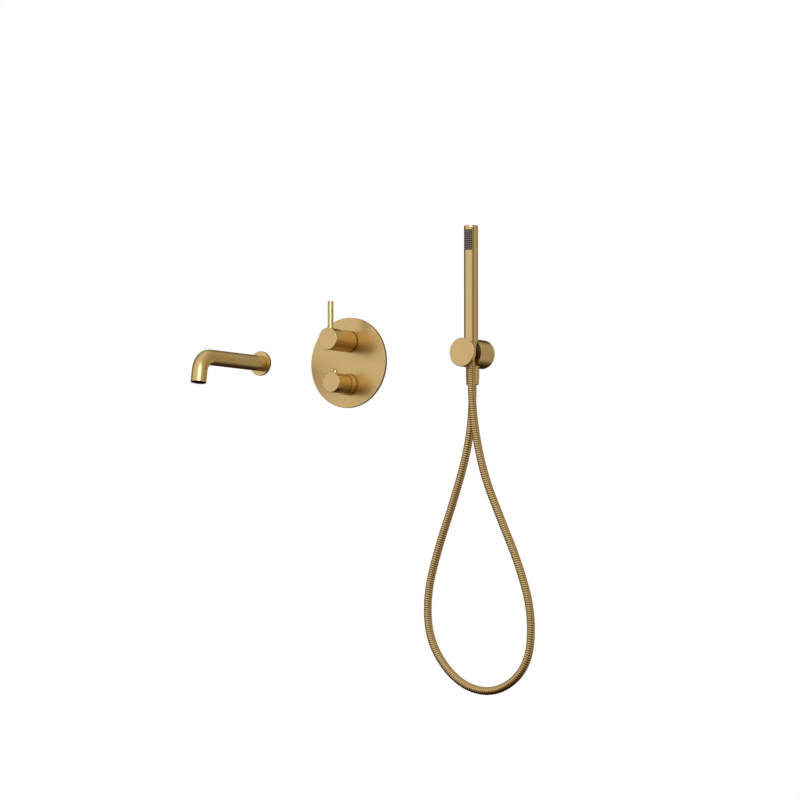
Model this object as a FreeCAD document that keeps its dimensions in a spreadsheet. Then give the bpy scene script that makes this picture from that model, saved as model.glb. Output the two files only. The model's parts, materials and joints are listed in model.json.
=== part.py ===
import FreeCAD, Part
import math
import os

import Sketcher
from FreeCAD import Placement, Rotation, Vector

# Concealed bath set in three wall stations: a bent spout, a thermostatic mixer with a diverter lever,
# and a hand shower in an outlet that is also its holder.
# +X runs right along the wall, +Z is up and the wall's finished face is Y = 0, so the room is at -Y.
# The origin is the centre of the mixer's cover plate on that face. All lengths are in millimetres.

doc = FreeCAD.newDocument("concealed_bath_set")
sheet = doc.addObject("Spreadsheet::Sheet", "dims")


class Dim:
    """A length of the sheet, or a formula of such lengths: its number and its expression."""

    def __init__(self, value, text):
        self.value = value
        self.text = text

    def _join(self, other, sign, value):
        return Dim(value, f"({self.text} {sign} {as_dim(other).text})")

    def __add__(self, other):
        return self._join(other, "+", self.value + as_dim(other).value)

    def __sub__(self, other):
        return self._join(other, "-", self.value - as_dim(other).value)

    def __mul__(self, other):
        return self._join(other, "*", self.value * as_dim(other).value)

    def __truediv__(self, other):
        return self._join(other, "/", self.value / as_dim(other).value)

    def __neg__(self):
        return Dim(-self.value, f"(0 - {self.text})")


def as_dim(number):
    return number if isinstance(number, Dim) else Dim(float(number), repr(float(number)))


def trig(name, angle):
    """A sine, cosine or tangent of an angle in degrees."""
    return Dim(getattr(math, name)(math.radians(angle.value)), f"{name}({angle.text} * 1 deg)")


def flat_vector(point):
    return Vector(as_dim(point[0]).value, as_dim(point[1]).value, 0)


row_count = 0


def dim(alias, value):
    """Write one driving dimension to the sheet and return it."""
    global row_count
    row_count += 1
    sheet.set(f"A{row_count}", alias)
    sheet.set(f"B{row_count}", str(value))
    sheet.setAlias(f"B{row_count}", alias)
    return Dim(float(value), f"dims.{alias}")


# Stations on the wall
spout_x = dim("spout_x", -192)
spout_z = dim("spout_z", 8)
valve_pitch = dim("valve_pitch", 76)
holder_x = dim("holder_x", 280)
holder_z = dim("holder_z", 1)

# Fits
running_gap = dim("running_gap", 0.05)
thread_gap = dim("thread_gap", 0.05)
edge_break = dim("edge_break", 0.6)
seal_thick = dim("seal_thick", 1.2)
pipe_thread_r = dim("pipe_thread_r", 10.48)
wall_stub = dim("wall_stub", 15)

# Spout
spout_r = dim("spout_r", 13.9)
spout_bore_r = dim("spout_bore_r", 11.8)
spout_reach = dim("spout_reach", 182)
spout_bend_r = dim("spout_bend_r", 31)
spout_leg = dim("spout_leg", 47)
spout_lean = dim("spout_lean", 9)
flange_r = dim("flange_r", 22)
flange_thick = dim("flange_thick", 4)
socket_length = dim("socket_length", 26)
slip_r = dim("slip_r", 9)
aerator_depth = dim("aerator_depth", 1.6)

# Mixer plate, sleeves and valve
plate_r = dim("plate_r", 80)
plate_thick = dim("plate_thick", 4.2)
plate_face = dim("plate_face", 2)
plate_rim = dim("plate_rim", 4.5)
sleeve_r = dim("sleeve_r", 17)
sleeve_bore_r = dim("sleeve_bore_r", 15.2)
sleeve_lip_r = dim("sleeve_lip_r", 18)
sleeve_lip = dim("sleeve_lip", 1.6)
valve_front = dim("valve_front", 4)
valve_depth = dim("valve_depth", 46)
chamber_r = dim("chamber_r", 12.6)
chamber_wall_r = dim("chamber_wall_r", 25)
neck_r = dim("neck_r", 15.1)
port_depth = dim("port_depth", 26)
port_reach = dim("port_reach", 38)
port_length = dim("port_length", 16)
port_wall_r = dim("port_wall_r", 13.5)
port_seat_r = dim("port_seat_r", 9.2)
port_seat_start = dim("port_seat_start", 20)
port_way_r = dim("port_way_r", 7)
bridge_half = dim("bridge_half", 13)
bridge_front = dim("bridge_front", 8)
bridge_rear = dim("bridge_rear", 40)
chamber_floor = dim("chamber_floor", 9)
bracket_thick = dim("bracket_thick", 3)
spindle_r = dim("spindle_r", 4)
grub_r = dim("grub_r", 2)
grub_gap = dim("grub_gap", 0.1)

# Knobs
lever_knob_r = dim("lever_knob_r", 19.5)
lever_knob_front = dim("lever_knob_front", 68.5)
knob_rear = dim("knob_rear", 7)
lever_out = dim("lever_out", 59)
lever_r = dim("lever_r", 5)
lever_top = dim("lever_top", 67)
heat_knob_r = dim("heat_knob_r", 17.8)
heat_knob_front = dim("heat_knob_front", 58)
collar_front = dim("collar_front", 17.2)
button_out = dim("button_out", 44.5)
button_r = dim("button_r", 3.8)
button_top = dim("button_top", 24.8)
button_travel = dim("button_travel", 2.5)
spring_floor = dim("spring_floor", 5.2)
spring_shut = dim("spring_shut", 3.8)

# Hand shower and its outlet
holder_r = dim("holder_r", 25)
holder_length = dim("holder_length", 67)
nipple_neck_r = dim("nipple_neck_r", 10.2)
slot_width = dim("slot_width", 16)
seat_x = dim("seat_x", 10)
seat_out = dim("seat_out", 52)
seat_r = dim("seat_r", 10.15)
seat_floor = dim("seat_floor", 17)
outlet_out = dim("outlet_out", 32)
outlet_bottom = dim("outlet_bottom", 54.3)
stick_r = dim("stick_r", 12.25)
stick_bore_r = dim("stick_bore_r", 10.7)
stick_top = dim("stick_top", 219.8)
cap_thick = dim("cap_thick", 3.2)
union_r = dim("union_r", 9.8)
union_bottom = dim("union_bottom", 6.4)
panel_top = dim("panel_top", 212)
panel_length = dim("panel_length", 35.3)
panel_half_angle = dim("panel_half_angle", 42)
hose_r = dim("hose_r", 7)
doc.recompute()

UPPER = valve_pitch / 2
LOWER = -valve_pitch / 2

# Each turned piece is drawn with its axis along local +Y; these turn that axis into the piece's direction.
FACING = {
    "out": Rotation(Vector(0, 0, 1), 180),
    "in": Rotation(),
    "up": Rotation(Vector(1, 0, 0), 90),
    "down": Rotation(Vector(1, 0, 0), -90),
    "right": Rotation(Vector(0, 0, 1), -90),
    "left": Rotation(Vector(0, 0, 1), 90),
    "spout_outlet": Rotation(Vector(1, 0, 0), -90 - spout_lean.value),
}
pieces = []


def place(thing, at, facing="in"):
    """Turn a piece to its direction and bind its position to the sheet."""
    at = [as_dim(part) for part in at]
    thing.Placement = Placement(Vector(*[part.value for part in at]), FACING[facing])
    for axis, part in zip("xyz", at):
        thing.setExpression(f"Placement.Base.{axis}", part.text)


def bind(thing, **values):
    for name, value in values.items():
        value = as_dim(value)
        setattr(thing, name, value.value)
        thing.setExpression(name, value.text)


def new_body(label):
    body = doc.addObject("PartDesign::Body", label)
    body.Label = label
    pieces.append(body)
    return body


def new_sketch(body, name, plane, lift=0):
    """A sketch on one of the body's own origin planes, lifted along the plane's normal."""
    sketch = body.newObject("Sketcher::SketchObject", f"{body.Label}_{name}")
    sketch.AttachmentSupport = [(f, "") for f in body.Origin.OriginFeatures if f.Role == plane]
    sketch.MapMode = "FlatFace"
    lift = as_dim(lift)
    sketch.AttachmentOffset = Placement(Vector(0, 0, lift.value), Rotation())
    sketch.setExpression("AttachmentOffset.Base.z", lift.text)
    return sketch


def hold_point(sketch, geometry, point, where):
    """Fix a sketch point at a place given by two lengths."""
    for kind, axis, part in (("DistanceX", -2, where[0]), ("DistanceY", -1, where[1])):
        part = as_dim(part)
        if abs(part.value) < 1e-9:
            sketch.addConstraint(Sketcher.Constraint("PointOnObject", geometry, point, axis))
            continue
        index = sketch.addConstraint(Sketcher.Constraint(kind, -1, 1, geometry, point, part.value))
        sketch.setExpression(f"Constraints[{index}]", part.text)


def draw_outline(sketch, points):
    flat = [flat_vector(point) for point in points]
    count = len(flat)
    for index in range(count):
        sketch.addGeometry(Part.LineSegment(flat[index], flat[(index + 1) % count]), False)
    for index in range(count):
        sketch.addConstraint(Sketcher.Constraint("Coincident", index, 2, (index + 1) % count, 1))
    for index in range(count):
        hold_point(sketch, index, 1, points[index])


def draw_circle(sketch, centre, radius):
    radius = as_dim(radius)
    index = sketch.addGeometry(Part.Circle(flat_vector(centre), Vector(0, 0, 1), radius.value), False)
    hold_point(sketch, index, 3, centre)
    size = sketch.addConstraint(Sketcher.Constraint("Radius", index, radius.value))
    sketch.setExpression(f"Constraints[{size}]", radius.text)


def turned(label, at, facing, outline):
    """A lathe-turned piece: an outline of (radius, distance along the axis) points, revolved."""
    body = new_body(label)
    sketch = new_sketch(body, "outline", "XY_Plane")
    draw_outline(sketch, outline)
    turn = body.newObject("PartDesign::Revolution", f"{label}_turn")
    turn.Profile = sketch
    turn.ReferenceAxis = (sketch, ["V_Axis"])
    turn.Angle = 360
    body.Tip = turn
    place(body, at, facing)
    return body


def ring(label, at, facing, bore, radius, start, end):
    return turned(label, at, facing, [(bore, start), (radius, start), (radius, end), (bore, end)])


def rod(label, at, facing, radius, start, end, bevel=0.3):
    """A solid round pin with both ends bevelled."""
    radius, start, end = as_dim(radius), as_dim(start), as_dim(end)
    return turned(label, at, facing, [
        (0, start), (radius - bevel, start), (radius, start + bevel),
        (radius, end - bevel), (radius - bevel, end), (0, end)])


def cut(body, name, plane, draw, length=None, lift=0, reverse=False):
    """A pocket in a body: right through both ways when it has no length."""
    doc.recompute()
    before = body.Shape.Volume
    sketch = new_sketch(body, name, plane, lift)
    draw(sketch)
    pocket = body.newObject("PartDesign::Pocket", f"{body.Label}_{name}_cut")
    pocket.Profile = sketch
    if length is None:
        pocket.Type = "ThroughAll"
        pocket.Midplane = True
    else:
        bind(pocket, Length=length)
        pocket.Reversed = reverse
    body.Tip = pocket
    doc.recompute()
    if not body.Shape.Volume < before - 0.01:
        raise RuntimeError(f"{body.Label}: {name} cuts nothing")


def cylinder(name, radius, start, end, at, facing):
    """A plain cylinder between two distances along its own axis."""
    thing = doc.addObject("Part::Cylinder", name)
    start, end = as_dim(start), as_dim(end)
    bind(thing, Radius=radius, Height=end - start)
    axis = {"out": (0, -1, 0), "in": (0, 1, 0), "right": (1, 0, 0), "left": (-1, 0, 0),
            "up": (0, 0, 1), "down": (0, 0, -1)}[facing]
    thing.Placement = Placement(Vector(), Rotation(Vector(0, 0, 1), Vector(*axis)))
    for letter, along, part in zip("xyz", axis, at):
        position = as_dim(part) + start * along
        setattr(thing.Placement.Base, letter, position.value)
        thing.setExpression(f"Placement.Base.{letter}", position.text)
    return thing


def box(name, low, high):
    thing = doc.addObject("Part::Box", name)
    low, high = [as_dim(part) for part in low], [as_dim(part) for part in high]
    bind(thing, Length=high[0] - low[0], Width=high[1] - low[1], Height=high[2] - low[2])
    place(thing, low)
    return thing


def carved(label, solids, tools):
    """A piece made of joined solids less the tools."""
    base = solids[0]
    if len(solids) > 1:
        base = doc.addObject("Part::MultiFuse", f"{label}_whole")
        base.Shapes = solids
    remove = tools[0]
    if len(tools) > 1:
        remove = doc.addObject("Part::MultiFuse", f"{label}_tools")
        remove.Shapes = tools
    thing = doc.addObject("Part::Cut", label)
    thing.Base = base
    thing.Tool = remove
    thing.Label = label
    pieces.append(thing)


# ---------------------------------------------------------------- Spout

SPOUT = (spout_x, 0, spout_z)
LEAN_OUT = trig("sin", spout_lean)
LEAN_DOWN = trig("cos", spout_lean)


def bent_pipe(body, name, radius, path, kind):
    """Sweep a circle, drawn on the wall side of the body, along its path."""
    section = new_sketch(body, name, "XZ_Plane")
    draw_circle(section, (0, 0), radius)
    pipe = body.newObject(kind, f"{body.Label}_{name}_sweep")
    pipe.Profile = section
    pipe.Spine = (path, ["Edge1", "Edge2", "Edge3"])
    body.Tip = pipe


def make_spout_tube():
    """Straight arm, an elbow a little under a right angle, and a short leg that leans into the room."""
    body = new_body("spout_tube")
    start = 1.0
    corner = -spout_reach + start
    tangent = spout_bend_r * trig("tan", -spout_lean / 2 + 45)
    bend_from = (corner + tangent, 0)
    bend_to = (corner - LEAN_OUT * tangent, -LEAN_DOWN * tangent)
    leg_end = (corner - LEAN_OUT * spout_leg, -LEAN_DOWN * spout_leg)
    middle = (corner + tangent, -spout_bend_r)
    path = new_sketch(body, "path", "YZ_Plane")
    path.addGeometry(Part.LineSegment(Vector(0, 0, 0), flat_vector(bend_from)), False)
    circle = Part.Circle(flat_vector(middle), Vector(0, 0, 1), spout_bend_r.value)
    quarter = math.pi / 2
    path.addGeometry(Part.ArcOfCircle(circle, quarter, 2 * quarter - math.radians(spout_lean.value)), False)
    path.addGeometry(Part.LineSegment(flat_vector(bend_to), flat_vector(leg_end)), False)
    path.addConstraint(Sketcher.Constraint("Coincident", 0, 1, -1, 1))
    path.addConstraint(Sketcher.Constraint("Coincident", 0, 2, 1, 1))
    path.addConstraint(Sketcher.Constraint("Coincident", 1, 2, 2, 1))
    hold_point(path, 0, 2, bend_from)
    hold_point(path, 1, 3, middle)
    hold_point(path, 2, 2, leg_end)
    height = path.addConstraint(Sketcher.Constraint("DistanceY", -1, 1, 2, 1, bend_to[1].value))
    path.setExpression(f"Constraints[{height}]", bend_to[1].text)
    doc.recompute()
    bent_pipe(body, "wall", spout_r, path, "PartDesign::AdditivePipe")
    doc.recompute()
    bent_pipe(body, "waterway", spout_bore_r, path, "PartDesign::SubtractivePipe")
    doc.recompute()
    place(body, (spout_x, -start, spout_z))
    cut(body, "screw_hole", "XY_Plane", lambda s: draw_circle(s, (0, -19), grub_r + grub_gap), length=16)


make_spout_tube()
turned("spout_flange", SPOUT, "out", [
    (spout_r + 0.3, 0), (15.1, 0), (15.1, seal_thick), (20, seal_thick), (20, 0), (flange_r, 0),
    (flange_r, flange_thick - edge_break), (flange_r - edge_break, flange_thick),
    (spout_r + 0.3, flange_thick)])
ring("spout_flange_seal", SPOUT, "out", 15.3, 19.8, 0, seal_thick)
socket = ring("spout_socket", SPOUT, "out", slip_r + thread_gap, spout_bore_r, seal_thick, socket_length)
cut(socket, "screw_hole", "XY_Plane", lambda s: draw_circle(s, (0, 20), grub_r + grub_gap), length=16)
turned("spout_nipple", SPOUT, "out", [
    (6, -wall_stub), (pipe_thread_r - 1, -wall_stub), (pipe_thread_r, -wall_stub + 1), (pipe_thread_r, 0.8),
    (slip_r, 0.8), (slip_r, 6), (slip_r - 1.4, 6), (slip_r - 1.4, 8), (slip_r, 8), (slip_r, 12),
    (slip_r - 1.4, 12), (slip_r - 1.4, 14), (slip_r, 14), (slip_r, 23), (slip_r - 1, 24), (6, 24)])
for order, groove in enumerate((6, 12)):
    ring(f"spout_o_ring_{order + 1}", SPOUT, "out", slip_r - 1.4, slip_r, groove + 0.1, groove + 1.9)
rod("spout_set_screw", (spout_x, -20, spout_z), "down", grub_r, slip_r, spout_r - 0.6)

OUTLET = (spout_x, -spout_reach - LEAN_OUT * spout_leg, spout_z - LEAN_DOWN * spout_leg)
ring("aerator_housing", OUTLET, "spout_outlet", 10.3, spout_bore_r - thread_gap, -13, -aerator_depth)


def make_aerator_insert():
    """Plastic jet former: a disc with two rings of small holes round a centre hole."""
    body = turned("aerator_insert", OUTLET, "spout_outlet", [(0, -10), (10.2, -10), (10.2, -3), (0, -3)])

    def holes(sketch):
        draw_circle(sketch, (0, 0), 1.1)
        for count, radius in ((6, 4.0), (12, 7.6)):
            for step in range(count):
                angle = 2 * math.pi * step / count
                draw_circle(sketch, (radius * math.cos(angle), radius * math.sin(angle)), 1.1)

    cut(body, "jets", "XZ_Plane", holes)


make_aerator_insert()
ring("aerator_washer", OUTLET, "spout_outlet", 7.5, spout_bore_r - 0.1, -15, -13)

# ---------------------------------------------------------------- Mixer: plate and in-wall valve

plate = turned("cover_plate", (0, 0, 0), "out", [
    (0, plate_thick - plate_face), (plate_r - plate_rim, plate_thick - plate_face),
    (plate_r - plate_rim, 0), (plate_r, 0), (plate_r, plate_thick - edge_break),
    (plate_r - edge_break, plate_thick), (0, plate_thick)])


def sleeve_holes(sketch):
    for height in (UPPER, LOWER):
        draw_circle(sketch, (0, height), sleeve_r + 0.2)


cut(plate, "sleeve_holes", "XZ_Plane", sleeve_holes)
ring("plate_gasket", (0, 0, 0), "out", plate_r - 11, plate_r - plate_rim - 0.2, 0, plate_thick - plate_face)

for name, height in (("diverter", UPPER), ("thermostat", LOWER)):
    axis = (0, 0, height)
    turned(f"{name}_sleeve", axis, "out", [
        (sleeve_bore_r, -valve_front), (sleeve_r, -valve_front), (sleeve_r, plate_thick),
        (sleeve_lip_r, plate_thick), (sleeve_lip_r, plate_thick + sleeve_lip),
        (sleeve_bore_r, plate_thick + sleeve_lip)])
    ring(f"{name}_sleeve_seal", axis, "out", sleeve_r, sleeve_r + 1.6, 0.6, plate_thick - plate_face)


def make_valve_body():
    """Brass body in the wall: two cartridge chambers, a bridge with the mixed-water way, four pipe ports."""
    solids = [box("bridge", (-bridge_half, bridge_front, LOWER), (bridge_half, bridge_rear, UPPER))]
    tools = [cylinder("mixed_way", 6, LOWER, UPPER, (0, port_depth, 0), "up")]
    for name, height in (("upper", UPPER), ("lower", LOWER)):
        axis = (0, 0, height)
        solids.append(cylinder(f"{name}_chamber", chamber_wall_r, valve_front, valve_depth, axis, "in"))
        solids.append(cylinder(f"{name}_neck", neck_r, -3, valve_front, axis, "in"))
        tools.append(cylinder(f"{name}_bore", chamber_r, -3, valve_depth - chamber_floor, axis, "in"))
        tools.append(cylinder(f"{name}_rear_screw_hole", 2, valve_depth - 7, valve_depth, axis, "in"))
        for side in ("right", "left"):
            port = (0, port_depth, height)
            solids.append(cylinder(f"{name}_{side}_port", port_wall_r, 0, port_reach, port, side))
            tools.append(cylinder(f"{name}_{side}_thread", pipe_thread_r, port_reach - port_length,
                                  port_reach, port, side))
            tools.append(cylinder(f"{name}_{side}_seat", port_seat_r, port_seat_start,
                                  port_reach - port_length, port, side))
            tools.append(cylinder(f"{name}_{side}_way", port_way_r, 0, port_seat_start, port, side))
    carved("valve_body", solids, tools)


make_valve_body()
for name, facing in (("hot", "left"), ("cold", "right")):
    turned(f"{name}_check_valve", (0, port_depth, LOWER), facing, [
        (4, 13.5), (port_way_r - 0.1, 13.5), (port_way_r - 0.1, port_seat_start),
        (port_seat_r - 0.1, port_seat_start), (port_seat_r - 0.1, 21.8), (4, 21.8)])
carved("valve_bracket", [
    box("bracket_bar", (-30, valve_depth, -12), (30, valve_depth + bracket_thick, 12)),
    box("bracket_post", (-14, valve_depth, -46), (14, valve_depth + bracket_thick, 46)),
], [
    cylinder("bracket_hole_left", 3.2, 0, 60, (-22, 0, 0), "in"),
    cylinder("bracket_hole_right", 3.2, 0, 60, (22, 0, 0), "in"),
    cylinder("bracket_hole_upper", 2.2, 0, 60, (0, 0, UPPER), "in"),
    cylinder("bracket_hole_lower", 2.2, 0, 60, (0, 0, LOWER), "in"),
])
for name, height in (("upper", UPPER), ("lower", LOWER)):
    turned(f"{name}_bracket_screw", (0, 0, height), "in", [
        (0, valve_depth - 6), (1.95, valve_depth - 6), (1.95, valve_depth + bracket_thick),
        (3.8, valve_depth + bracket_thick), (3.8, valve_depth + 5), (2.8, valve_depth + 6),
        (1.6, valve_depth + 6), (1.6, valve_depth + 4), (0, valve_depth + 4)])

GLAND_FLATS = 24


def make_gland_nut(name, height):
    """Holds a cartridge down: a threaded skirt in the chamber's mouth and a hexagon head."""
    nut = turned(f"{name}_gland_nut", (0, 0, height), "out", [
        (9.1, -3), (chamber_r - thread_gap, -3), (chamber_r - thread_gap, 3), (13.8, 3),
        (13.8, 8), (9.1, 8)])

    def flats(sketch):
        """Everything outside a hexagon."""
        corner = GLAND_FLATS / 2 / math.cos(math.pi / 6)
        turns = [math.pi * step / 3 for step in range(6)]
        draw_outline(sketch, [(corner * math.cos(turn), corner * math.sin(turn)) for turn in turns])
        draw_circle(sketch, (0, 0), 15)

    cut(nut, "flats", "XZ_Plane", flats, length=5, lift=-8, reverse=True)


for name, height, rear in (("diverter", UPPER, -34), ("thermostat", LOWER, -36)):
    make_gland_nut(name, height)
    bore = spindle_r + running_gap
    turned(f"{name}_cartridge", (0, 0, height), "out", [
        (0, rear), (11, rear), (11, rear + 6), (12.5, rear + 6), (12.5, rear + 9), (11.4, rear + 9),
        (11.4, -9), (12.5, -9), (12.5, -3), (9, -3), (9, 12), (bore, 12), (bore, -10), (0, -10)])

# ---------------------------------------------------------------- Mixer: knobs


def make_lever_knob():
    """Diverter knob: a deep cap on the spindle, with the lever pin's seat near its front."""
    knob = turned("diverter_knob", (0, 0, UPPER), "out", [
        (spindle_r + running_gap, 46), (16.5, 46), (16.5, knob_rear), (lever_knob_r - edge_break, knob_rear),
        (lever_knob_r, knob_rear + edge_break), (lever_knob_r, lever_knob_front - edge_break),
        (lever_knob_r - edge_break, lever_knob_front), (0, lever_knob_front), (0, 54),
        (spindle_r + running_gap, 54)])
    cut(knob, "lever_seat", "XY_Plane", lambda s: draw_circle(s, (0, lever_out), lever_r + 0.05),
        length=8, lift=15.5, reverse=True)
    cut(knob, "lever_thread", "XY_Plane", lambda s: draw_circle(s, (0, lever_out), 3),
        length=14, lift=5, reverse=True)
    cut(knob, "screw_hole", "XY_Plane", lambda s: draw_circle(s, (0, 50), grub_r + grub_gap), length=24)


make_lever_knob()
LEVER = (0, -lever_out, UPPER)
turned("lever_pin", LEVER, "up", [
    (0, 6), (2.95, 6), (2.95, 15.6), (lever_r, 15.6), (lever_r, lever_top - edge_break),
    (lever_r - edge_break, lever_top), (0, lever_top)])
rod("diverter_set_screw", (0, -50, UPPER), "down", grub_r, spindle_r, 15)
rod("diverter_spindle", (0, 0, UPPER), "out", spindle_r, -9.5, 53.5)


def make_heat_knob():
    """Thermostat knob: its rear skirt turns inside the fixed collar, its stop button sits on top."""
    knob = turned("thermostat_knob", (0, 0, LOWER), "out", [
        (spindle_r + running_gap, 38), (14.7, 38), (14.7, 8), (15.9, 8), (15.9, collar_front + 1),
        (heat_knob_r - 0.4, collar_front + 1), (heat_knob_r, collar_front + 1.4),
        (heat_knob_r, heat_knob_front - edge_break), (heat_knob_r - edge_break, heat_knob_front),
        (0, heat_knob_front), (0, 48), (spindle_r + running_gap, 48)])
    cut(knob, "button_hole", "XY_Plane",
        lambda s: draw_circle(s, (0, button_out), button_r + 0.08), length=14, lift=spring_floor, reverse=True)
    cut(knob, "screw_hole", "XY_Plane", lambda s: draw_circle(s, (0, 42), grub_r + grub_gap), length=20)


make_heat_knob()
turned("thermostat_collar", (0, 0, LOWER), "out", [
    (16.3, plate_thick + sleeve_lip), (lever_knob_r - 0.4, plate_thick + sleeve_lip),
    (lever_knob_r, plate_thick + sleeve_lip + 0.4), (lever_knob_r, collar_front - 0.5),
    (lever_knob_r - 0.5, collar_front), (16.3, collar_front)])
rod("thermostat_set_screw", (0, -42, LOWER), "down", grub_r, spindle_r, 13)
rod("thermostat_spindle", (0, 0, LOWER), "out", spindle_r, -9.5, 47.5)
BUTTON = (0, -button_out, LOWER)
BUTTON_BASE = spring_floor + spring_shut + button_travel


def make_safety_button():
    """Stop button: a short pin with a ball end."""
    body = new_body("safety_button")
    sketch = new_sketch(body, "outline", "XY_Plane")
    shoulder = button_top - button_r
    corners = [(0, BUTTON_BASE), (button_r, BUTTON_BASE), (button_r, shoulder), (0, button_top)]
    base_middle, base_edge, neck, tip = [flat_vector(corner) for corner in corners]
    ball = Part.Circle(Vector(0, shoulder.value, 0), Vector(0, 0, 1), button_r.value)
    sketch.addGeometry(Part.LineSegment(base_middle, base_edge), False)
    sketch.addGeometry(Part.LineSegment(base_edge, neck), False)
    sketch.addGeometry(Part.ArcOfCircle(ball, 0, math.pi / 2), False)
    sketch.addGeometry(Part.LineSegment(tip, base_middle), False)
    for line in range(4):
        sketch.addConstraint(Sketcher.Constraint("Coincident", line, 2, (line + 1) % 4, 1))
    for line, corner in enumerate(corners[:3]):
        hold_point(sketch, line, 1, corner)
    hold_point(sketch, 2, 3, (0, shoulder))
    sketch.addConstraint(Sketcher.Constraint("PointOnObject", 3, 1, -2))
    turn = body.newObject("PartDesign::Revolution", "safety_button_turn")
    turn.Profile = sketch
    turn.ReferenceAxis = (sketch, ["V_Axis"])
    turn.Angle = 360
    body.Tip = turn
    place(body, BUTTON, "up")


make_safety_button()
ring("button_spring", BUTTON, "up", 2.5, 3.3, spring_floor, BUTTON_BASE)

# ---------------------------------------------------------------- Shower outlet and holder

HOLDER = (holder_x, 0, holder_z)


def make_holder_body():
    """One bar: water way and outlet behind, a side slot for the hose, and the hand shower's seat."""
    body = turned("holder_body", HOLDER, "out", [
        (0, 14), (nipple_neck_r + 0.1, 14), (nipple_neck_r + 0.1, 0), (12.8, 0), (12.8, seal_thick),
        (22.2, seal_thick), (22.2, 0), (holder_r, 0), (holder_r, holder_length - 0.8),
        (holder_r - 0.8, holder_length), (0, holder_length)])
    boss_ring = new_sketch(body, "boss", "XY_Plane")
    draw_circle(boss_ring, (0, outlet_out), 11.6)
    boss = body.newObject("PartDesign::Pad", "holder_body_boss_pad")
    boss.Profile = boss_ring
    bind(boss, Length=holder_r)
    boss.Reversed = True
    body.Tip = boss
    # The bar's own frame looks out of the wall, so its left is the room's right.
    slot = [(-seat_x, seat_out - slot_width / 2), (-holder_r - 2, seat_out - slot_width / 2),
            (-holder_r - 2, seat_out + slot_width / 2), (-seat_x, seat_out + slot_width / 2)]
    cut(body, "hose_slot", "XY_Plane", lambda s: draw_outline(s, slot))
    cut(body, "seat_bore", "XY_Plane", lambda s: draw_circle(s, (-seat_x, seat_out), seat_r))
    cut(body, "seat_floor", "XY_Plane", lambda s: draw_circle(s, (-seat_x, seat_out), stick_r + 0.35),
        length=12, lift=seat_floor, reverse=True)
    cut(body, "water_way", "XZ_Plane", lambda s: draw_circle(s, (0, 0), 5),
        length=outlet_out - 13, lift=-outlet_out, reverse=True)
    cut(body, "outlet_bore", "XY_Plane", lambda s: draw_circle(s, (0, outlet_out), 8.05), length=30)


make_holder_body()
turned("holder_nipple", HOLDER, "out", [
    (5, -wall_stub), (pipe_thread_r - 1, -wall_stub), (pipe_thread_r, -wall_stub + 1), (pipe_thread_r, 0),
    (nipple_neck_r, 0), (nipple_neck_r, 13.8), (5, 13.8)])
ring("holder_wall_seal", HOLDER, "out", 13, 22, 0, seal_thick)
STUB = (holder_x, -outlet_out, holder_z)
turned("hose_stub", STUB, "down", [
    (6, 6), (8, 6), (8, 25.6), (10.3, 25.6), (10.3, 36.2), (6, 36.2)])
turned("outlet_check_valve", STUB, "down", [(2.5, 22), (5.9, 22), (5.9, 35), (2.5, 35)])
turned("outlet_nut", STUB, "down", [
    (10.4, 25.3), (11.6, 25.3), (11.6, 38), (10.9, outlet_bottom - 0.4), (10.5, outlet_bottom),
    (hose_r - 0.1, outlet_bottom), (hose_r - 0.1, 41), (10.4, 41)])
ring("outlet_washer", STUB, "down", 5.5, 10, 36.2, 38.2)
turned("outlet_hose_tail", STUB, "down", [
    (4.5, 38.2), (10, 38.2), (10, 40.8), (hose_r - 0.2, 40.8), (hose_r - 0.2, outlet_bottom),
    (4.5, outlet_bottom)])

# ---------------------------------------------------------------- Hand shower

STICK = (holder_x + seat_x, -seat_out, holder_z)
GRIP_BOTTOM = seat_floor + 0.2
SOCKET_R = 8.45
SOCKET_FLOOR = as_dim(31)
UNION_TOP = SOCKET_FLOOR - 3


def cut_window(body, half_angle, low, high, reach):
    """Cut a window through the room side of an upright tube, its sides along radii."""
    angle = math.radians(half_angle)
    corners = [(0, 0), (-reach * math.tan(angle), -reach), (reach * math.tan(angle), -reach)]
    cut(body, "window", "XY_Plane", lambda s: draw_outline(s, corners), length=high - low, lift=low,
        reverse=True)


def upright_tube(label, bore, radius, low, high):
    """A tube along Z, padded from its ring so that its window is drawn on the same plane."""
    body = new_body(label)
    sketch = new_sketch(body, "ring", "XY_Plane", low)
    draw_circle(sketch, (0, 0), radius)
    draw_circle(sketch, (0, 0), bore)
    pad = body.newObject("PartDesign::Pad", f"{label}_pad")
    pad.Profile = sketch
    bind(pad, Length=high - low)
    body.Tip = pad
    place(body, STICK)
    doc.recompute()
    return body


grip = upright_tube("handset_tube", stick_bore_r, stick_r, GRIP_BOTTOM, stick_top - cap_thick)
cut_window(grip, panel_half_angle.value, panel_top - panel_length, panel_top, 20)
turned("handset_cap", STICK, "up", [
    (0, stick_top - cap_thick - 4), (stick_bore_r - 0.05, stick_top - cap_thick - 4),
    (stick_bore_r - 0.05, stick_top - cap_thick), (stick_r, stick_top - cap_thick),
    (stick_r, stick_top - 0.9), (stick_r - 0.3, stick_top - 0.3), (stick_r - 0.9, stick_top), (0, stick_top)])
turned("handset_connector", STICK, "up", [
    (SOCKET_R, GRIP_BOTTOM + 0.3), (stick_bore_r - 0.05, GRIP_BOTTOM + 0.3), (stick_bore_r - 0.05, 44),
    (5, 44), (5, SOCKET_FLOOR), (SOCKET_R, SOCKET_FLOOR)])


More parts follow.
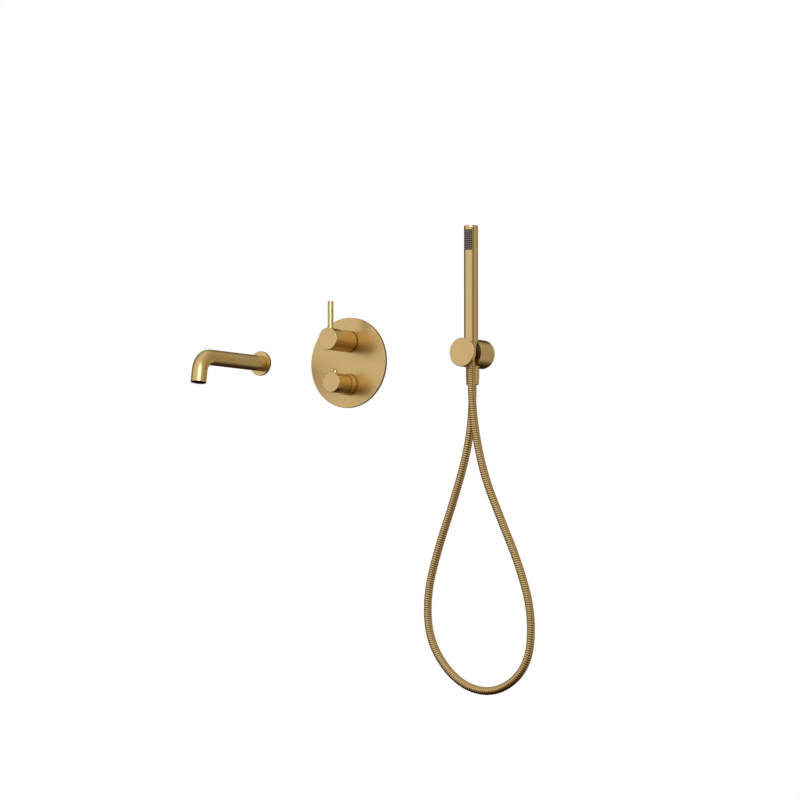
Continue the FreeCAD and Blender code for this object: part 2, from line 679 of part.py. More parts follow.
def make_nozzle_panel():
    """Curved spray face: the part of a tube wall that fills the window, a hair below the tube's skin."""
    panel = doc.addObject("Part::Cylinder", "panel_outer")
    side_gap = 1.0
    sweep = 2 * (panel_half_angle.value - side_gap)
    bind(panel, Radius=stick_r - 0.1, Height=panel_length - 0.3)
    panel.Angle = sweep
    inner = doc.addObject("Part::Cylinder", "panel_inner")
    bind(inner, Radius=stick_bore_r - 1.2, Height=panel_length - 0.3)
    inner.Angle = 360
    for thing in (panel, inner):
        place(thing, (STICK[0], STICK[1], STICK[2] + panel_top - panel_length + 0.15))
        thing.Placement.Rotation = Rotation(Vector(0, 0, 1), 270 - sweep / 2)
    carved("nozzle_panel", [panel], [inner])


NOZZLE_ROWS, NOZZLE_COLUMNS = 9, 4


def make_nozzles():
    """Soft spray nozzles: short pegs that stand on the panel in rows and columns."""
    pitch = (panel_length.value - 2.0) / NOZZLE_ROWS
    spread = 2 * panel_half_angle.value / NOZZLE_COLUMNS
    low = panel_top.value - panel_length.value + 1.0
    pegs = []
    for row in range(NOZZLE_ROWS):
        for column in range(NOZZLE_COLUMNS):
            angle = math.radians(spread * (column + 0.5) - panel_half_angle.value)
            outward = Vector(math.sin(angle), -math.cos(angle), 0)
            foot = outward * (stick_r.value - 0.18) + Vector(0, 0, low + pitch * (row + 0.5))
            pegs.append(Part.makeCone(1.0, 0.7, 0.7, foot, outward))
    group = doc.addObject("Part::Feature", "spray_nozzles")
    group.Label = "spray_nozzles"
    group.Shape = Part.makeCompound(pegs)
    place(group, STICK)
    pieces.append(group)


make_nozzle_panel()
make_nozzles()
turned("handset_waterway", STICK, "up", [
    (5, 44), (7, 44), (7, 165), (9.2, 168), (9.2, panel_top - 1), (0, panel_top - 1), (0, panel_top - 2.5),
    (8, panel_top - 2.5), (8, 169), (5.8, 166), (5, 164)])
turned("hose_union", STICK, "up", [
    (hose_r - 0.2, -union_bottom), (union_r - 0.5, -union_bottom), (union_r, -union_bottom + 0.5),
    (union_r, 3.6), (union_r - 0.4, 4), (union_r - 0.4, 4.8), (union_r, 5.2), (union_r, GRIP_BOTTOM - 0.1),
    (SOCKET_R - 0.1, GRIP_BOTTOM - 0.1), (SOCKET_R - 0.1, UNION_TOP), (5, UNION_TOP), (5, 8),
    (hose_r - 0.2, 8)])
ring("union_washer", STICK, "up", 5, SOCKET_R - 0.3, UNION_TOP, SOCKET_FLOOR - running_gap * 2)
turned("union_hose_tail", STICK, "up", [
    (4.5, -union_bottom), (hose_r - 0.3, -union_bottom), (hose_r - 0.3, 7.9), (4.5, 7.9)])

# ---------------------------------------------------------------- Hose

# The route hangs from the outlet nut to the hand shower's union in one narrow loop.
HOSE_ROUTE = [
    (280, -32, -53.3), (280, -32, -103), (269, -34, -175), (241, -35, -258), (211, -37, -337),
    (188, -38, -419), (197, -40, -502), (258, -42, -572), (336, -44, -588), (402, -46, -543),
    (411, -48, -452), (385, -50, -366), (350, -51, -290), (316, -52, -213), (296, -52, -129),
    (290, -52, -54), (290, -52, -5.4),
]


def rounded_path(points):
    """Straight runs joined by arcs that are tangent to both and as large as the runs allow."""
    edges, radii = [], []
    here = points[0]
    for before, corner, after in zip(points, points[1:], points[2:]):
        to_before, to_after = before - corner, after - corner
        reach = 0.45 * min(to_before.Length, to_after.Length)
        to_before.normalize()
        to_after.normalize()
        turn = math.pi - to_before.getAngle(to_after)
        radii.append(reach / math.tan(turn / 2))
        start, end = corner + to_before * reach, corner + to_after * reach
        inward = (to_before + to_after).normalize()
        middle = corner + inward * (radii[-1] / math.cos(turn / 2) - radii[-1])
        edges.append(Part.LineSegment(here, start).toShape())
        edges.append(Part.Arc(start, middle, end).toShape())
        here = end
    edges.append(Part.LineSegment(here, points[-1]).toShape())
    return Part.Wire(edges), radii


def make_hose():
    points = [Vector(*point) for point in HOSE_ROUTE]
    path, radii = rounded_path(points)
    start_circle = Part.Circle(points[0], (points[1] - points[0]).normalize(), hose_r.value)
    tube = path.makePipeShell([Part.Wire(start_circle.toShape())], True, False)
    expected = math.pi * hose_r.value ** 2 * path.Length
    print("hose length", round(path.Length, 1), "smallest radius", round(min(radii), 1))
    print("hose volume / section x length", round(tube.Volume / expected, 4))
    hose = doc.addObject("Part::Feature", "shower_hose")
    hose.Label = "shower_hose"
    hose.Shape = tube
    hose.Placement = Placement()
    pieces.append(hose)


make_hose()

# ---------------------------------------------------------------- Check and write

doc.recompute()
for thing in doc.Objects:
    if {"Invalid", "Error"} & set(thing.State):
        raise RuntimeError(f"{thing.Label}: {thing.State}")
os.makedirs("parts", exist_ok=True)
for piece in pieces:
    shape = piece.Shape
    if shape.isNull() or not shape.isValid() or not shape.Solids:
        raise RuntimeError(f"{piece.Label}: no valid solid")
    shape.exportStep(f"parts/{piece.Label}.step")
    limits = shape.BoundBox
    print(f"{piece.Label:24s} solids {len(shape.Solids):3d}  volume {shape.Volume:10.1f}  "
          f"x {limits.XMin:8.2f} {limits.XMax:8.2f}  y {limits.YMin:8.2f} {limits.YMax:8.2f}  "
          f"z {limits.ZMin:8.2f} {limits.ZMax:8.2f}")
print("pieces", len(pieces))
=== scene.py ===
import json
import math

import bmesh
import bpy
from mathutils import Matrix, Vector


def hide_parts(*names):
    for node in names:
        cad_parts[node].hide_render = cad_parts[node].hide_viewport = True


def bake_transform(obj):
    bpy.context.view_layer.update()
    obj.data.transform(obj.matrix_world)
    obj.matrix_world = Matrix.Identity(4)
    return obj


# Looks of a concealed bath set: bent spout, mixer plate with two knobs, and a hand shower on a looped hose.
# Metres throughout, in the CAD frame: the room is at -Y, +X runs right along the wall, +Z is up.

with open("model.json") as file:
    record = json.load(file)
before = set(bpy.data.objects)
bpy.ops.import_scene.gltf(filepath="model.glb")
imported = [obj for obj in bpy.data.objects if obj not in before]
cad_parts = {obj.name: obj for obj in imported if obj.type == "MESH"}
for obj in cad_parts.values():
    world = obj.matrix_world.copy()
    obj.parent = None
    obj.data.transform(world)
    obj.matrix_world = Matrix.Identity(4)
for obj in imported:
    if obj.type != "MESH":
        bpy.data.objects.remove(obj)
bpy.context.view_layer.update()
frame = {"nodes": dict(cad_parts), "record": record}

MM = 0.001


def direction(azimuth, height):
    """A unit vector towards the room at azimuth 0 and to the right at 90 degrees; both angles in radians."""
    flat = math.cos(height)
    return Vector((math.sin(azimuth) * flat, -math.cos(azimuth) * flat, math.sin(height)))


# ---------------------------------------------------------------- Camera

CAMERA_AZIMUTH = math.radians(33.8)
CAMERA_ELEVATION = math.radians(-4.4)
CAMERA_DISTANCE = 8.0
CAMERA_TARGET = Vector((0.1075, 0.0, -0.0703))
CAMERA_LENS = 205.13
CAMERA_SENSOR = 36.0
CAMERA_CLIP = 50.0


def make_camera():
    data = bpy.data.cameras.new("camera")
    data.lens = CAMERA_LENS
    data.sensor_width = CAMERA_SENSOR
    data.clip_end = CAMERA_CLIP
    camera = bpy.data.objects.new("camera", data)
    bpy.context.scene.collection.objects.link(camera)
    back = direction(CAMERA_AZIMUTH, CAMERA_ELEVATION)
    camera.location = CAMERA_TARGET + back * CAMERA_DISTANCE
    camera.rotation_mode = "QUATERNION"
    camera.rotation_quaternion = (-back).to_track_quat("-Z", "Y")
    bpy.context.scene.camera = camera


make_camera()

# ---------------------------------------------------------------- Mesh helpers


def mesh_object(name, mesh):
    thing = bpy.data.objects.new(name, mesh)
    bpy.context.scene.collection.objects.link(thing)
    return thing


def sweep_rings(name, rings):
    """A closed tube: each ring is a list of points, joined to the next, with both ends capped."""
    mesh = bmesh.new()
    loops = [[mesh.verts.new(point) for point in ring] for ring in rings]
    count = len(loops[0])
    for lower, upper in zip(loops, loops[1:]):
        for step in range(count):
            after = (step + 1) % count
            mesh.faces.new((lower[step], lower[after], upper[after], upper[step]))
    mesh.faces.new(reversed(loops[0]))
    mesh.faces.new(loops[-1])
    for face in mesh.faces:
        face.smooth = True
    data = bpy.data.meshes.new(name)
    mesh.to_mesh(data)
    mesh.free()
    return mesh_object(name, data)


# ---------------------------------------------------------------- Hose

HOSE_ROUTE_MM = [
    (280, -32, -53.3), (280, -32, -103), (269, -34, -175), (241, -35, -258), (211, -37, -337),
    (188, -38, -419), (197, -40, -502), (258, -42, -572), (336, -44, -588), (402, -46, -543),
    (411, -48, -452), (385, -50, -366), (350, -51, -290), (316, -52, -213), (296, -52, -129),
    (290, -52, -54), (290, -52, -5.4),
]
HOSE_R = 7.0 * MM
HOSE_GROOVE = 0.7 * MM
HOSE_PITCH = 3.9 * MM
HOSE_SIDES = 28
HOSE_STEPS_PER_RIB = 8
HOSE_CURVE_STEPS = 24
RIB_GAIN, RIB_POWER = 1.35, 0.6  # how wide a rib's crown is, and how steep its sides are


def spline_points(name, points, resolution):
    """Points along a NURBS curve whose control points are the route's."""
    curve = bpy.data.curves.new(name, "CURVE")
    curve.dimensions = "3D"
    spline = curve.splines.new("NURBS")
    spline.points.add(len(points) - 1)
    for control, point in zip(spline.points, points):
        control.co = (*point, 1.0)
    spline.order_u = 3
    spline.use_endpoint_u = True
    spline.resolution_u = resolution
    thing = bpy.data.objects.new(name, curve)
    bpy.context.scene.collection.objects.link(thing)
    mesh = bpy.data.meshes.new_from_object(thing)
    found = [vertex.co.copy() for vertex in mesh.vertices]
    bpy.data.objects.remove(thing)
    bpy.data.meshes.remove(mesh)
    return found


def evenly_spaced(points, gap):
    """The same line as points about a given gap apart, with its length."""
    lengths = [0.0]
    for before, after in zip(points, points[1:]):
        lengths.append(lengths[-1] + (after - before).length)
    total = lengths[-1]
    count = max(2, round(total / gap))
    line, segment = [], 0
    for step in range(count + 1):
        along = total * step / count
        while segment < len(points) - 2 and lengths[segment + 1] < along:
            segment += 1
        share = (along - lengths[segment]) / (lengths[segment + 1] - lengths[segment])
        line.append(points[segment].lerp(points[segment + 1], min(1.0, share)))
    return line, total


def carried_frames(line):
    """A side and a binormal at each point, turned as little as possible from one point to the next."""
    frames = []
    side = Vector((1.0, 0.0, 0.0))
    for index in range(len(line)):
        ahead = line[min(index + 1, len(line) - 1)]
        behind = line[max(index - 1, 0)]
        tangent = (ahead - behind).normalized()
        side = (side - tangent * side.dot(tangent)).normalized()
        frames.append((side, tangent.cross(side)))
    return frames


def rib_height(turn):
    """0 in the groove, 1 on a rib's flat crown, over one turn of the winding."""
    wave = 0.5 - 0.5 * math.cos(2 * math.pi * turn)
    return min(1.0, RIB_GAIN * wave ** RIB_POWER)


def make_hose():
    route = [Vector(point) * MM for point in HOSE_ROUTE_MM]
    smooth = spline_points("hose_line", route, HOSE_CURVE_STEPS)
    line, length = evenly_spaced(smooth, HOSE_PITCH / HOSE_STEPS_PER_RIB)
    frames = carried_frames(line)
    gap = length / (len(line) - 1)
    rings, heights = [], []
    for index, (point, (side, other)) in enumerate(zip(line, frames)):
        ring = []
        for step in range(HOSE_SIDES):
            angle = 2 * math.pi * step / HOSE_SIDES
            height = rib_height(index * gap / HOSE_PITCH + step / HOSE_SIDES)
            radius = HOSE_R - HOSE_GROOVE * (1.0 - height)
            ring.append(point + (side * math.cos(angle) + other * math.sin(angle)) * radius)
            heights.append(height)
        rings.append(ring)
    hose = sweep_rings("ribbed_hose", rings)
    attribute = hose.data.attributes.new("rib_height", "FLOAT", "POINT")
    attribute.data.foreach_set("value", heights)
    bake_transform(hose)
    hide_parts("shower_hose")
    print("hose length", round(length, 4), "m")
    return hose


hose = make_hose()

# ---------------------------------------------------------------- Materials

NOISE_LOW, NOISE_HIGH = 0.3, 0.7  # where nearly all of a noise texture's values lie
NOISE_ROUGHNESS = 0.6
RELIEF_HEIGHT = 0.2 * MM


def new_material(name, colour, metallic, roughness):
    material = bpy.data.materials.new(name)
    material.use_nodes = True
    shader = material.node_tree.nodes["Principled BSDF"]
    shader.inputs["Base Color"].default_value = (*colour, 1.0)
    shader.inputs["Metallic"].default_value = metallic
    shader.inputs["Roughness"].default_value = roughness
    return material, material.node_tree, shader


def add_node(tree, kind, **inputs):
    node = tree.nodes.new(kind)
    for name, value in inputs.items():
        node.inputs[name.replace("_", " ")].default_value = value
    return node


def math_node(tree, operation, *values):
    """A math node whose inputs are links or plain numbers."""
    node = tree.nodes.new("ShaderNodeMath")
    node.operation = operation
    for socket, value in zip(node.inputs, values):
        if isinstance(value, bpy.types.NodeSocket):
            tree.links.new(value, socket)
        else:
            socket.default_value = value
    return node.outputs["Value"]


def within(tree, value, half, soft):
    """1 where a value is within half of zero, falling smoothly to 0 over the soft edge."""
    edge = tree.nodes.new("ShaderNodeMapRange")
    edge.interpolation_type = "SMOOTHSTEP"
    edge.inputs["From Min"].default_value = half + soft
    edge.inputs["From Max"].default_value = half - soft
    tree.links.new(math_node(tree, "ABSOLUTE", value), edge.inputs["Value"])
    return edge.outputs["Result"]


def stretched_noise(tree, stretch, scale, detail=3.0):
    """Fine noise drawn out across the directions where stretch is small, as brush marks are."""
    place = add_node(tree, "ShaderNodeTexCoord")
    mapping = add_node(tree, "ShaderNodeMapping", Scale=stretch)
    tree.links.new(place.outputs["Object"], mapping.inputs["Vector"])
    noise = add_node(tree, "ShaderNodeTexNoise", Scale=scale, Detail=detail, Roughness=NOISE_ROUGHNESS)
    tree.links.new(mapping.outputs["Vector"], noise.inputs["Vector"])
    return noise.outputs["Fac"]


def spread(tree, source, low, high):
    """Map a noise value onto a range."""
    node = add_node(tree, "ShaderNodeMapRange", To_Min=low, To_Max=high)
    node.inputs["From Min"].default_value = NOISE_LOW
    node.inputs["From Max"].default_value = NOISE_HIGH
    tree.links.new(source, node.inputs["Value"])
    return node.outputs["Result"]


def bump(tree, shader, source, strength):
    node = add_node(tree, "ShaderNodeBump", Strength=strength, Distance=RELIEF_HEIGHT)
    tree.links.new(source, node.inputs["Height"])
    tree.links.new(node.outputs["Normal"], shader.inputs["Normal"])
    return node


def blend_colours(tree, share, first, second):
    """The first colour where share is 0 and the second where it is 1; each is a link or three numbers."""
    mix = tree.nodes.new("ShaderNodeMix")
    mix.data_type = "RGBA"
    tree.links.new(share, mix.inputs["Factor"])
    for name, colour in (("A", first), ("B", second)):
        if isinstance(colour, bpy.types.NodeSocket):
            tree.links.new(colour, mix.inputs[name])
        else:
            mix.inputs[name].default_value = (*colour, 1.0)
    return mix.outputs["Result"]


def tint(tree, shader, source, dark, light):
    """Colour that goes from dark to light as a value goes from 0 to 1."""
    tree.links.new(blend_colours(tree, source, dark, light), shader.inputs["Base Color"])


def position(tree):
    """The X, Y and Z of a surface point in the part's own frame."""
    place = tree.nodes.new("ShaderNodeTexCoord")
    split = tree.nodes.new("ShaderNodeSeparateXYZ")
    tree.links.new(place.outputs["Object"], split.inputs["Vector"])
    return [split.outputs[axis] for axis in "XYZ"]


def ramp(tree, value, start, end):
    """0 before start and 1 after end, with a smooth step between; start may be the larger."""
    node = tree.nodes.new("ShaderNodeMapRange")
    node.interpolation_type = "SMOOTHSTEP"
    node.inputs["From Min"].default_value = start
    node.inputs["From Max"].default_value = end
    tree.links.new(value, node.inputs["Value"])
    return node.outputs["Result"]


def span(tree, value, low, high, soft):
    """1 between two values, falling to 0 over the soft edge on each side."""
    middle = math_node(tree, "SUBTRACT", value, (low + high) / 2)
    return within(tree, middle, (high - low) / 2, soft)


def both(tree, first, second):
    return math_node(tree, "MULTIPLY", first, second)


def length_of(tree, first, second):
    """How long the arrow of two components is."""
    squares = math_node(tree, "ADD", both(tree, first, first), both(tree, second, second))
    return math_node(tree, "SQRT", squares)


def distance_on_wall(tree, x, z, centre):
    """The distance across the wall from a centre, which is given in mm."""
    return length_of(tree, math_node(tree, "SUBTRACT", x, centre[0] * MM),
                     math_node(tree, "SUBTRACT", z, centre[1] * MM))


# A shade is 0 where the metal keeps its colour and 1 where it is darkest. It is painted shade standing in for deep
# shadows, except the plate's index dots, which are print drawn the same way.
# Places and sizes are in mm in the part's frame, and a pair is where a shade starts and where it is full.
PLATE_CENTRE, PLATE_R = (0, 0), 80
FLANGE_CENTRE, FLANGE_R = (-192, 8), 22
RIM_OUTER, RIM_INNER, RIM_SHADE = 0.2, 0.55, 0.85
# The plate's index dots are print, not shade; they take the same dark colour as the painted shade.
PLATE_DOTS = [(-60.5, -31), (-58.5, -35), (-57, -39)]
DOT_R, DOT_EDGE, DOT_INK = 0.8, 0.15, 0.85
SPOUT_OUTLET = (-192, -189.35, -38.42)
SPOUT_LEAN = math.radians(9)
MOUTH_RIM = (-0.35, -0.1)
MOUTH_BORE_R = (13.5, 13.2)
MOUTH_BORE_DEPTH = (-20, -16)
MOUTH_SHADE = 0.97
SLOT_LEFT, SLOT_REAR, SLOT_FRONT = 288.5, -43.95, -60.05
SLOT_LEFT_EDGE, SLOT_SIDE_EDGE = 0.3, 0.05
SLOT_TOP, SLOT_FOOT = 8, -4
SLOT_SHADE = (0.94, 1.0)


def edge_shade(tree, centre, radius):
    """The outer edge of a round plate on the wall."""
    x, _, z = position(tree)
    rim = ramp(tree, distance_on_wall(tree, x, z, centre), (radius - RIM_INNER) * MM, (radius - RIM_OUTER) * MM)
    return math_node(tree, "MULTIPLY", rim, RIM_SHADE)


def plate_shade_and_dots(tree):
    """Painted shade on the plate's outer edge, and a few small printed index dots beside the lower knob."""
    x, _, z = position(tree)
    total = edge_shade(tree, PLATE_CENTRE, PLATE_R)
    for centre in PLATE_DOTS:
        spot = ramp(tree, distance_on_wall(tree, x, z, centre), (DOT_R + DOT_EDGE) * MM, (DOT_R - DOT_EDGE) * MM)
        total = math_node(tree, "MAXIMUM", total, math_node(tree, "MULTIPLY", spot, DOT_INK))
    return total


def flange_shade(tree):
    return edge_shade(tree, FLANGE_CENTRE, FLANGE_R)


def mouth_shade(tree):
    """The spout's mouth: the end of its leg, and the bore as far as the aerator goes."""
    side, y, z = [math_node(tree, "SUBTRACT", part, start * MM)
                  for part, start in zip(position(tree), SPOUT_OUTLET)]
    sine, cosine = math.sin(SPOUT_LEAN), math.cos(SPOUT_LEAN)
    along = math_node(tree, "ADD", math_node(tree, "MULTIPLY", y, -sine), math_node(tree, "MULTIPLY", z, -cosine))
    front = math_node(tree, "SUBTRACT", math_node(tree, "MULTIPLY", y, cosine),
                      math_node(tree, "MULTIPLY", z, sine))
    in_bore = ramp(tree, length_of(tree, side, front), *(radius * MM for radius in MOUTH_BORE_R))
    near_end = ramp(tree, along, *(depth * MM for depth in MOUTH_BORE_DEPTH))
    rim = ramp(tree, along, *(depth * MM for depth in MOUTH_RIM))
    return math_node(tree, "MULTIPLY", math_node(tree, "MAXIMUM", both(tree, in_bore, near_end), rim), MOUTH_SHADE)


def slot_shade(tree):
    """The inside of the holder's slot, darker towards its foot."""
    x, y, z = position(tree)
    inside = both(tree, ramp(tree, x, (SLOT_LEFT - SLOT_LEFT_EDGE) * MM, SLOT_LEFT * MM),
                  span(tree, y, SLOT_FRONT * MM, SLOT_REAR * MM, SLOT_SIDE_EDGE * MM))
    depth = add_node(tree, "ShaderNodeMapRange", To_Min=SLOT_SHADE[0], To_Max=SLOT_SHADE[1])
    depth.inputs["From Min"].default_value = SLOT_TOP * MM
    depth.inputs["From Max"].default_value = SLOT_FOOT * MM
    tree.links.new(z, depth.inputs["Value"])
    return both(tree, inside, depth.outputs["Result"])


GOLD_DARK = (0.74, 0.530, 0.195)
GOLD_LIGHT = (0.82, 0.595, 0.230)
# Colour of painted shade where it is full, also the colour of the plate's printed dots.
GOLD_SHADE_AND_INK = (0.045, 0.014, 0.003)
# Painted shade in the hose's grooves, where the ribs shadow them.
GROOVE_PAINTED_SHADE = (0.34, 0.20, 0.06)
SHADE_SPECULAR = 0.1
BRUSH_SCALE, BRUSH_DETAIL = 4.0, 2.0
BRUSH_RELIEF = 0.035
BRUSH_SMOOTHER, BRUSH_ROUGHER = 0.03, 0.04
GRAIN_SCALE, GRAIN_RELIEF = 600.0, 0.12
GRAIN_SMOOTHER, GRAIN_ROUGHER, GRAIN_DARKER = 0.05, 0.06, 0.85
GROOVE_ROUGHNESS, CROWN_ROUGHNESS = 0.55, 0.28
KNOB_ROUNDING = 0.9 * MM
# How finely the brush marks repeat along each axis, for rings around Y, rings around Z and marks along X.
BRUSH = {
    "round_y": (6.0, 900.0, 6.0),
    "round_z": (6.0, 6.0, 900.0),
    "flat": (14.0, 14.0, 700.0),
}


def brushed_gold(name, grain, roughness, shade=None, rounding=0.0, depth=BRUSH_RELIEF):
    """Satin brushed gold. A shade is one of the functions above, and a rounding softens the edges."""
    material, tree, shader = new_material(name, GOLD_LIGHT, 1.0, roughness)
    marks = stretched_noise(tree, BRUSH[grain], BRUSH_SCALE, BRUSH_DETAIL)
    colour = blend_colours(tree, spread(tree, marks, 0.0, 1.0), GOLD_DARK, GOLD_LIGHT)
    rough = spread(tree, marks, roughness - BRUSH_SMOOTHER, roughness + BRUSH_ROUGHER)
    if shade:
        dark = shade(tree)
        colour = blend_colours(tree, dark, colour, GOLD_SHADE_AND_INK)
        rough = math_node(tree, "MAXIMUM", rough, dark)
        tree.links.new(math_node(tree, "SUBTRACT", 1.0, dark), shader.inputs["Metallic"])
        shader.inputs["Specular IOR Level"].default_value = SHADE_SPECULAR
    tree.links.new(colour, shader.inputs["Base Color"])
    tree.links.new(rough, shader.inputs["Roughness"])
    relief = bump(tree, shader, marks, depth)
    if rounding:
        rounded = add_node(tree, "ShaderNodeBevel", Radius=rounding)
        tree.links.new(rounded.outputs["Normal"], relief.inputs["Normal"])
    return material


def hose_metal():
    """Painted shade: dark brown in the grooves standing in for the shade there, and bright gold on the ribs'
    crowns.
    """
    material, tree, shader = new_material("hose_metal", GOLD_LIGHT, 1.0, 0.3)
    height = tree.nodes.new("ShaderNodeAttribute")
    height.attribute_name = "rib_height"
    tint(tree, shader, height.outputs["Fac"], GROOVE_PAINTED_SHADE, GOLD_LIGHT)
    rough = add_node(tree, "ShaderNodeMapRange", To_Min=GROOVE_ROUGHNESS, To_Max=CROWN_ROUGHNESS)
    tree.links.new(height.outputs["Fac"], rough.inputs["Value"])
    tree.links.new(rough.outputs["Result"], shader.inputs["Roughness"])
    return material


def plain(name, colour, metallic, roughness):
    """A uniform material with a fine surface of its own."""
    material, tree, shader = new_material(name, colour, metallic, roughness)
    marks = stretched_noise(tree, (1.0, 1.0, 1.0), GRAIN_SCALE)
    rough = spread(tree, marks, roughness - GRAIN_SMOOTHER, roughness + GRAIN_ROUGHER)
    tree.links.new(rough, shader.inputs["Roughness"])
    tint(tree, shader, spread(tree, marks, 0.0, 1.0), [GRAIN_DARKER * part for part in colour], colour)
    bump(tree, shader, marks, GRAIN_RELIEF)
    return material


gold_y = brushed_gold("brushed_gold_turned_y", "round_y", 0.26, rounding=KNOB_ROUNDING)
gold_z = brushed_gold("brushed_gold_turned_z", "round_z", 0.20)
gold_lever = brushed_gold("brushed_gold_lever", "round_z", 0.38, depth=0.008)
gold_plate = brushed_gold("brushed_gold_plate", "flat", 0.28, plate_shade_and_dots)
gold_flange = brushed_gold("brushed_gold_flange", "flat", 0.24, flange_shade)
gold_spout = brushed_gold("brushed_gold_spout", "round_y", 0.34, mouth_shade, depth=0.015)
gold_holder = brushed_gold("brushed_gold_holder", "round_y", 0.26, slot_shade, rounding=KNOB_ROUNDING)
machined = plain("machined_brass", (0.62, 0.44, 0.20), 1.0, 0.35)
# Painted shadow: the aerator's housing is made near-black to stand in for the deep shadow inside the spout's
# mouth.
machined_painted_shadow = plain("machined_brass_in_shadow", (0.05, 0.03, 0.015), 1.0, 0.5)
steel = plain("steel", (0.55, 0.55, 0.56), 1.0, 0.3)
rubber = plain("rubber_black", (0.02, 0.02, 0.02), 0.0, 0.6)
nozzle_grey = plain("nozzle_silicone", (0.62, 0.60, 0.40), 0.0, 0.45)
plastic_white = plain("plastic_white", (0.75, 0.75, 0.72), 0.0, 0.4)
plastic_grey = plain("plastic_grey", (0.05, 0.05, 0.055), 0.0, 0.4)

FACE_LOW, FACE_LENGTH, FACE_MARGIN, FACE_ROWS = 177.7, 35.3, 1.0, 9
FACE_BLACK, STRIP_GREEN = (0.008, 0.008, 0.006), (0.33, 0.33, 0.21)
STRIP_HALF, STRIP_EDGE = 0.2, 0.04  # as shares of a row


def panel_material():
    """Black spray face with a grey-green silicone strip under each row of nozzles."""
    material, tree, shader = new_material("spray_face", (0.02, 0.02, 0.02), 0.0, 0.35)
    pitch = (FACE_LENGTH - 2 * FACE_MARGIN) / FACE_ROWS
    height = position(tree)[2]
    above = math_node(tree, "SUBTRACT", height, (FACE_LOW + FACE_MARGIN) * MM)
    rows = math_node(tree, "DIVIDE", above, pitch * MM)
    from_middle = math_node(tree, "SUBTRACT", math_node(tree, "FRACT", rows), 0.5)
    tint(tree, shader, within(tree, from_middle, STRIP_HALF, STRIP_EDGE), FACE_BLACK, STRIP_GREEN)
    return material


BY_SLOT = {
    "brushed_gold": gold_y, "brass_raw": machined, "steel": steel, "rubber_black": rubber,
    "plastic_black": panel_material(), "silicone_dark": nozzle_grey, "plastic_white": plastic_white,
    "plastic_grey": plastic_grey, "hose_gold": gold_z,
}
UPRIGHT = ("outlet_nut", "handset_tube", "handset_cap", "hose_union", "safety_button")
OWN_MATERIAL = {"cover_plate": gold_plate, "spout_flange": gold_flange, "spout_tube": gold_spout,
                "holder_body": gold_holder, "lever_pin": gold_lever,
                "aerator_housing": machined_painted_shadow}


def set_material(thing, material):
    thing.data.materials.clear()
    thing.data.materials.append(material)


slot_of = {part["node"]: part["material_slot"] for part in frame["record"]["subparts"]}
for name, thing in frame["nodes"].items():
    usual = gold_z if name in UPRIGHT else BY_SLOT[slot_of[name]]
    set_material(thing, OWN_MATERIAL.get(name, usual))
set_material(hose, hose_metal())

# ---------------------------------------------------------------- Stage and light

FLOOR_Z = -0.95
FLOOR_SIZE = 12.0
FLOOR_GLOW = 0.9


def make_floor():
    """A white ground that the object neither mirrors nor takes light from."""
    mesh = bmesh.new()
    bmesh.ops.create_grid(mesh, x_segments=1, y_segments=1, size=FLOOR_SIZE)
    data = bpy.data.meshes.new("floor")
    mesh.to_mesh(data)
    mesh.free()
    floor = mesh_object("floor", data)
    floor.location.z = FLOOR_Z
    floor.visible_glossy = False
    floor.visible_diffuse = False
    material, _, shader = new_material("floor_white", (0.9, 0.9, 0.9), 0.0, 0.9)
    shader.inputs["Emission Color"].default_value = (1.0, 1.0, 1.0, 1.0)
    shader.inputs["Emission Strength"].default_value = FLOOR_GLOW
    floor.data.materials.append(material)


make_floor()


def studio_panel(tree, parts, total, azimuths, heights, soft, colour):
    """A soft-edged light panel on the sky, between two azimuths and two heights, all in degrees."""
    middle = math.radians(sum(azimuths) / 2)
    x, y, z = parts
    along = math_node(tree, "SUBTRACT", math_node(tree, "MULTIPLY", x, math.sin(middle)),
                      math_node(tree, "MULTIPLY", y, math.cos(middle)))
    side = math_node(tree, "ADD", math_node(tree, "MULTIPLY", x, math.cos(middle)),
                     math_node(tree, "MULTIPLY", y, math.sin(middle)))
    turn = math_node(tree, "ARCTAN2", side, along)
    rise = math_node(tree, "SUBTRACT", math_node(tree, "ARCSINE", z), math.radians(sum(heights) / 2))
    edge = math.radians(soft)
    wide = within(tree, turn, math.radians(azimuths[1] - azimuths[0]) / 2, edge)
    tall = within(tree, rise, math.radians(heights[1] - heights[0]) / 2, edge)
    return blend_colours(tree, both(tree, wide, tall), total, colour)


SKY_DARK = (0.022, 0.010, 0.003)
PANELS = [
    # azimuths, heights, soft edge, colour; azimuth 0 is the room side and 90 the right
    ((-190, 190), (-26, 120), 6, (0.20, 0.17, 0.14)),
    ((-200, 200), (48, 130), 10, (0.70, 0.68, 0.76)),
    ((48, 204), (-30, 62), 4, (0.45, 0.42, 0.39)),
    ((92, 116), (-34, 40), 5, (0.58, 0.54, 0.50)),
    ((50, 80), (-34, 40), 5, (0.25, 0.22, 0.20)),
    ((120, 142), (-34, 40), 4, (0.34, 0.31, 0.28)),
    ((-62, 56), (-32, 20), 12, (0.36, 0.29, 0.24)),
    ((-70, 48), (-4, 54), 7, (0.80, 0.79, 0.93)),
    ((-176, -108), (-45, 42), 8, (0.03, 0.018, 0.008)),
]


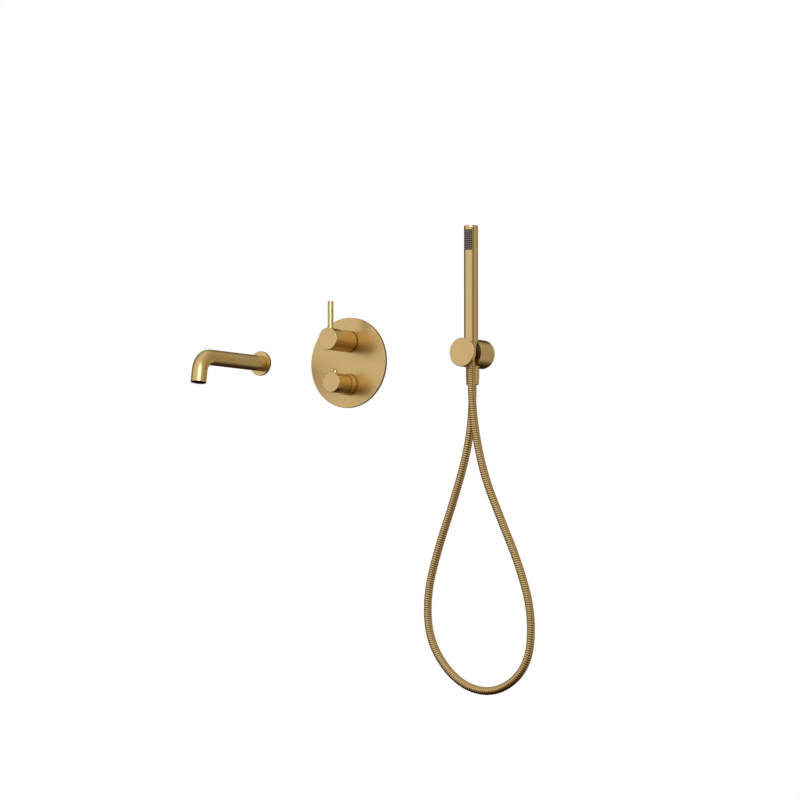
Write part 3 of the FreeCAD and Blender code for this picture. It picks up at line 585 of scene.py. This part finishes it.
def make_world():
    """White to the camera, and to the object a soft studio: bright in front and above, brown below."""
    world = bpy.data.worlds.new("studio")
    bpy.context.scene.world = world
    world.use_nodes = True
    tree = world.node_tree
    tree.nodes.clear()
    place = tree.nodes.new("ShaderNodeTexCoord")
    split = tree.nodes.new("ShaderNodeSeparateXYZ")
    tree.links.new(place.outputs["Generated"], split.inputs["Vector"])
    parts = [split.outputs[axis] for axis in "XYZ"]
    ground = tree.nodes.new("ShaderNodeRGB")
    ground.outputs["Color"].default_value = (*SKY_DARK, 1.0)
    total = ground.outputs["Color"]
    for azimuths, heights, soft, colour in PANELS:
        total = studio_panel(tree, parts, total, azimuths, heights, soft, colour)
    sky = tree.nodes.new("ShaderNodeBackground")
    tree.links.new(total, sky.inputs["Color"])
    white = tree.nodes.new("ShaderNodeBackground")
    white.inputs["Color"].default_value = (1.0, 1.0, 1.0, 1.0)
    path = tree.nodes.new("ShaderNodeLightPath")
    choose = tree.nodes.new("ShaderNodeMixShader")
    tree.links.new(path.outputs["Is Camera Ray"], choose.inputs["Fac"])
    tree.links.new(sky.outputs["Background"], choose.inputs[1])
    tree.links.new(white.outputs["Background"], choose.inputs[2])
    output = tree.nodes.new("ShaderNodeOutputWorld")
    tree.links.new(choose.outputs["Shader"], output.inputs["Surface"])


STRIP_LIT = ("lever_pin", "spout_tube", "spout_flange", "diverter_knob", "thermostat_knob", "thermostat_collar",
             "safety_button", "cover_plate", "holder_body", "handset_cap")
STRIP_WIDTH, STRIP_HEIGHT = 0.45, 1.3
STRIP_POWER = 26.0
STRIP_AIM = Vector((-0.1, -0.1, 0.0))
STRIP_AZIMUTH, STRIP_RISE, STRIP_DISTANCE = math.radians(38), math.radians(14), 2.2


def strip_light():
    """A bright strip in front on the right, seen as the white highlight on upright edges and sides.

    It gives direct highlights only: its light isn't followed from one piece to the next.
    """
    data = bpy.data.lights.new("strip", "AREA")
    data.shape = "RECTANGLE"
    data.size = STRIP_WIDTH
    data.size_y = STRIP_HEIGHT
    data.energy = STRIP_POWER
    data.cycles.max_bounces = 0
    data.cycles.use_multiple_importance_sampling = False
    light = bpy.data.objects.new("strip", data)
    bpy.context.scene.collection.objects.link(light)
    away = direction(STRIP_AZIMUTH, STRIP_RISE)
    light.location = STRIP_AIM + away * STRIP_DISTANCE
    light.rotation_mode = "QUATERNION"
    light.rotation_quaternion = away.to_track_quat("Z", "Y")
    lit = bpy.data.collections.new("lit_by_strip")
    for name in STRIP_LIT:
        lit.objects.link(frame["nodes"][name])
    light.light_linking.receiver_collection = lit


strip_light()
make_world()
bpy.context.scene.view_settings.view_transform = "Standard"
